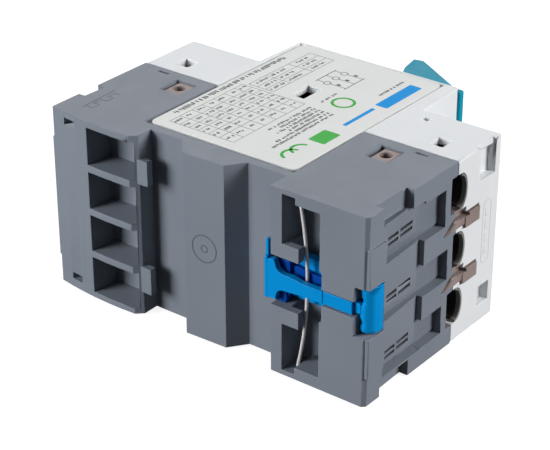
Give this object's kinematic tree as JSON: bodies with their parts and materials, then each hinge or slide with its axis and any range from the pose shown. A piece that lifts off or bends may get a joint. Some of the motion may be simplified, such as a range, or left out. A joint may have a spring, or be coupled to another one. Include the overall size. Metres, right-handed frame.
{
  "type": "motor protection breaker",
  "caption": "Push-button motor protection circuit breaker for a 35 mm rail, with a sprung blue rail clip, screw terminals, dial and trip mechanism.",
  "frame": {"origin": "on the resting side's plane, under the middle of the whole object's box", "axes": "the device lies on its side as pictured: +X along its height towards the clip and load terminals, +Y from the rail side to the front plate and buttons, +Z across its 45 mm width, up"},
  "size_m": [0.089, 0.0785, 0.045],
  "materials": {
    "grey_housing": "fine moulded grain",
    "white_housing": "fine moulded grain, light grey white",
    "teal_plate": "satin moulded",
    "label": "printed film",
    "brown_frame": "matt thermoset",
    "blue_clip": "semi gloss moulded",
    "spring_wire": "drawn wire",
    "zinc_steel": "zinc plated",
    "black_plastic": "satin",
    "red_button": "satin",
    "white_dial": "satin",
    "brass_bar": "stamped",
    "copper_winding": "enamelled copper wire",
    "copper_bridge": "stamped copper with silver tips",
    "heater_sleeve": "woven fibre insulation"
  },
  "bodies": {
    "housing": {"rear_base": "grey_housing", "front_cover": "white_housing", "fascia": "teal_plate", "side_label": "label", "inner_frame": "brown_frame", "mechanism_bracket": "zinc_steel", "rocker_pin": "zinc_steel", "clip_spring": "spring_wire", "line_terminal_1": "brass_bar", "load_terminal_1": "brass_bar", "inner_contact_1": "brass_bar", "arc_chute_1": "zinc_steel", "trip_coil_1": "copper_winding", "bimetal_1": "brass_bar", "heater_1": "heater_sleeve", "line_terminal_2": "brass_bar", "load_terminal_2": "brass_bar", "inner_contact_2": "brass_bar", "arc_chute_2": "zinc_steel", "trip_coil_2": "copper_winding", "bimetal_2": "brass_bar", "heater_2": "heater_sleeve", "line_terminal_3": "brass_bar", "load_terminal_3": "brass_bar", "inner_contact_3": "brass_bar", "arc_chute_3": "zinc_steel", "trip_coil_3": "copper_winding", "bimetal_3": "brass_bar", "heater_3": "heater_sleeve"},
    "din_clip": {"din_clip": "blue_clip"},
    "start_button": {"start_button": "black_plastic"},
    "stop_button": {"stop_button": "red_button"},
    "operating_rocker": {"operating_rocker": "black_plastic"},
    "contact_carrier": {"contact_carrier": "black_plastic", "contact_bridge_1": "copper_bridge", "contact_bridge_2": "copper_bridge", "contact_bridge_3": "copper_bridge"},
    "setting_dial": {"setting_dial": "white_dial"},
    "trip_tester": {"trip_tester": "red_button"},
    "trip_bar": {"trip_bar": "white_dial"},
    "trip_plunger_1": {"trip_plunger_1": "zinc_steel"},
    "trip_plunger_2": {"trip_plunger_2": "zinc_steel"},
    "trip_plunger_3": {"trip_plunger_3": "zinc_steel"},
    "line_clamp_1": {"line_clamp_1": "zinc_steel"},
    "line_screw_1": {"line_screw_1": "zinc_steel"},
    "line_clamp_2": {"line_clamp_2": "zinc_steel"},
    "line_screw_2": {"line_screw_2": "zinc_steel"},
    "line_clamp_3": {"line_clamp_3": "zinc_steel"},
    "line_screw_3": {"line_screw_3": "zinc_steel"},
    "load_clamp_1": {"load_clamp_1": "zinc_steel"},
    "load_screw_1": {"load_screw_1": "zinc_steel"},
    "load_clamp_2": {"load_clamp_2": "zinc_steel"},
    "load_screw_2": {"load_screw_2": "zinc_steel"},
    "load_clamp_3": {"load_clamp_3": "zinc_steel"},
    "load_screw_3": {"load_screw_3": "zinc_steel"}
  },
  "joints": [
    {"name": "din_clip_slide", "type": "slide", "parent": "housing", "child": "din_clip", "axis": [1, 0, 0], "range_m": [0, 0.0025], "stiffness_N_per_m": 500, "deforming": ["clip_spring"]},
    {"name": "start_press", "type": "slide", "parent": "housing", "child": "start_button", "axis": [0, -1, 0], "range_m": [0, 0.0025]},
    {"name": "stop_press", "type": "slide", "parent": "housing", "child": "stop_button", "axis": [0, -1, 0], "range_m": [-0.0025, 0]},
    {"name": "carrier_slide", "type": "slide", "parent": "housing", "child": "contact_carrier", "axis": [0, -1, 0], "range_m": [0, 0.0025]},
    {"name": "rocker_turn", "type": "hinge", "parent": "housing", "child": "operating_rocker", "pos_m": [-0.0118, 0.01365, 0.0225], "axis": [-1, 0, 0], "range_deg": [0, 14]},
    {"name": "dial_turn", "type": "hinge", "parent": "housing", "child": "setting_dial", "pos_m": [0.013, 0.02915, 0.028], "axis": [0, -1, 0], "range_deg": [-135, 135]},
    {"name": "tester_slide", "type": "slide", "parent": "housing", "child": "trip_tester", "axis": [1, 0, 0], "range_m": [0, 0.0025], "stiffness_N_per_m": 150},
    {"name": "trip_bar_turn", "type": "hinge", "parent": "housing", "child": "trip_bar", "pos_m": [0.0126, -0.00275, 0.0225], "axis": [0, 0, -1], "range_deg": [0, 8], "stiffness_Nm_per_rad": 0.02},
    {"name": "plunger_slide_1", "type": "slide", "parent": "housing", "child": "trip_plunger_1", "axis": [0, 1, 0], "range_m": [0, 0.006], "stiffness_N_per_m": 80},
    {"name": "plunger_slide_2", "type": "slide", "parent": "housing", "child": "trip_plunger_2", "axis": [0, 1, 0], "range_m": [0, 0.006], "stiffness_N_per_m": 80},
    {"name": "plunger_slide_3", "type": "slide", "parent": "housing", "child": "trip_plunger_3", "axis": [0, 1, 0], "range_m": [0, 0.006], "stiffness_N_per_m": 80},
    {"name": "line_clamp_slide_1", "type": "slide", "parent": "housing", "child": "line_clamp_1", "axis": [0, 1, 0], "range_m": [0, 0.0025]},
    {"name": "line_screw_turn_1", "type": "hinge", "parent": "line_clamp_1", "child": "line_screw_1", "pos_m": [-0.0365, -0.00005, 0.0372], "axis": [0, 1, 0], "range_deg": [0, 1286]},
    {"name": "line_clamp_slide_2", "type": "slide", "parent": "housing", "child": "line_clamp_2", "axis": [0, 1, 0], "range_m": [0, 0.0025]},
    {"name": "line_screw_turn_2", "type": "hinge", "parent": "line_clamp_2", "child": "line_screw_2", "pos_m": [-0.0365, -0.00005, 0.0231], "axis": [0, 1, 0], "range_deg": [0, 1286]},
    {"name": "line_clamp_slide_3", "type": "slide", "parent": "housing", "child": "line_clamp_3", "axis": [0, 1, 0], "range_m": [0, 0.0025]},
    {"name": "line_screw_turn_3", "type": "hinge", "parent": "line_clamp_3", "child": "line_screw_3", "pos_m": [-0.0365, -0.00005, 0.009], "axis": [0, 1, 0], "range_deg": [0, 1286]},
    {"name": "load_clamp_slide_1", "type": "slide", "parent": "housing", "child": "load_clamp_1", "axis": [0, 1, 0], "range_m": [0, 0.0025]},
    {"name": "load_screw_turn_1", "type": "hinge", "parent": "load_clamp_1", "child": "load_screw_1", "pos_m": [0.0365, -0.00005, 0.0372], "axis": [0, 1, 0], "range_deg": [0, 1286]},
    {"name": "load_clamp_slide_2", "type": "slide", "parent": "housing", "child": "load_clamp_2", "axis": [0, 1, 0], "range_m": [0, 0.0025]},
    {"name": "load_screw_turn_2", "type": "hinge", "parent": "load_clamp_2", "child": "load_screw_2", "pos_m": [0.0365, -0.00005, 0.0231], "axis": [0, 1, 0], "range_deg": [0, 1286]},
    {"name": "load_clamp_slide_3", "type": "slide", "parent": "housing", "child": "load_clamp_3", "axis": [0, 1, 0], "range_m": [0, 0.0025]},
    {"name": "load_screw_turn_3", "type": "hinge", "parent": "load_clamp_3", "child": "load_screw_3", "pos_m": [0.0365, -0.00005, 0.009], "axis": [0, 1, 0], "range_deg": [0, 1286]}
  ],
  "couplings": [
    {"joint": "stop_press", "follows": "start_press", "ratio": -1},
    {"joint": "carrier_slide", "follows": "start_press", "ratio": 1},
    {"joint": "rocker_turn", "follows": "start_press", "rad_per_m": 95.238},
    {"joint": "line_screw_turn_1", "follows": "line_clamp_slide_1", "rad_per_m": 8976},
    {"joint": "line_screw_turn_2", "follows": "line_clamp_slide_2", "rad_per_m": 8976},
    {"joint": "line_screw_turn_3", "follows": "line_clamp_slide_3", "rad_per_m": 8976},
    {"joint": "load_screw_turn_1", "follows": "load_clamp_slide_1", "rad_per_m": 8976},
    {"joint": "load_screw_turn_2", "follows": "load_clamp_slide_2", "rad_per_m": 8976},
    {"joint": "load_screw_turn_3", "follows": "load_clamp_slide_3", "rad_per_m": 8976}
  ]
}
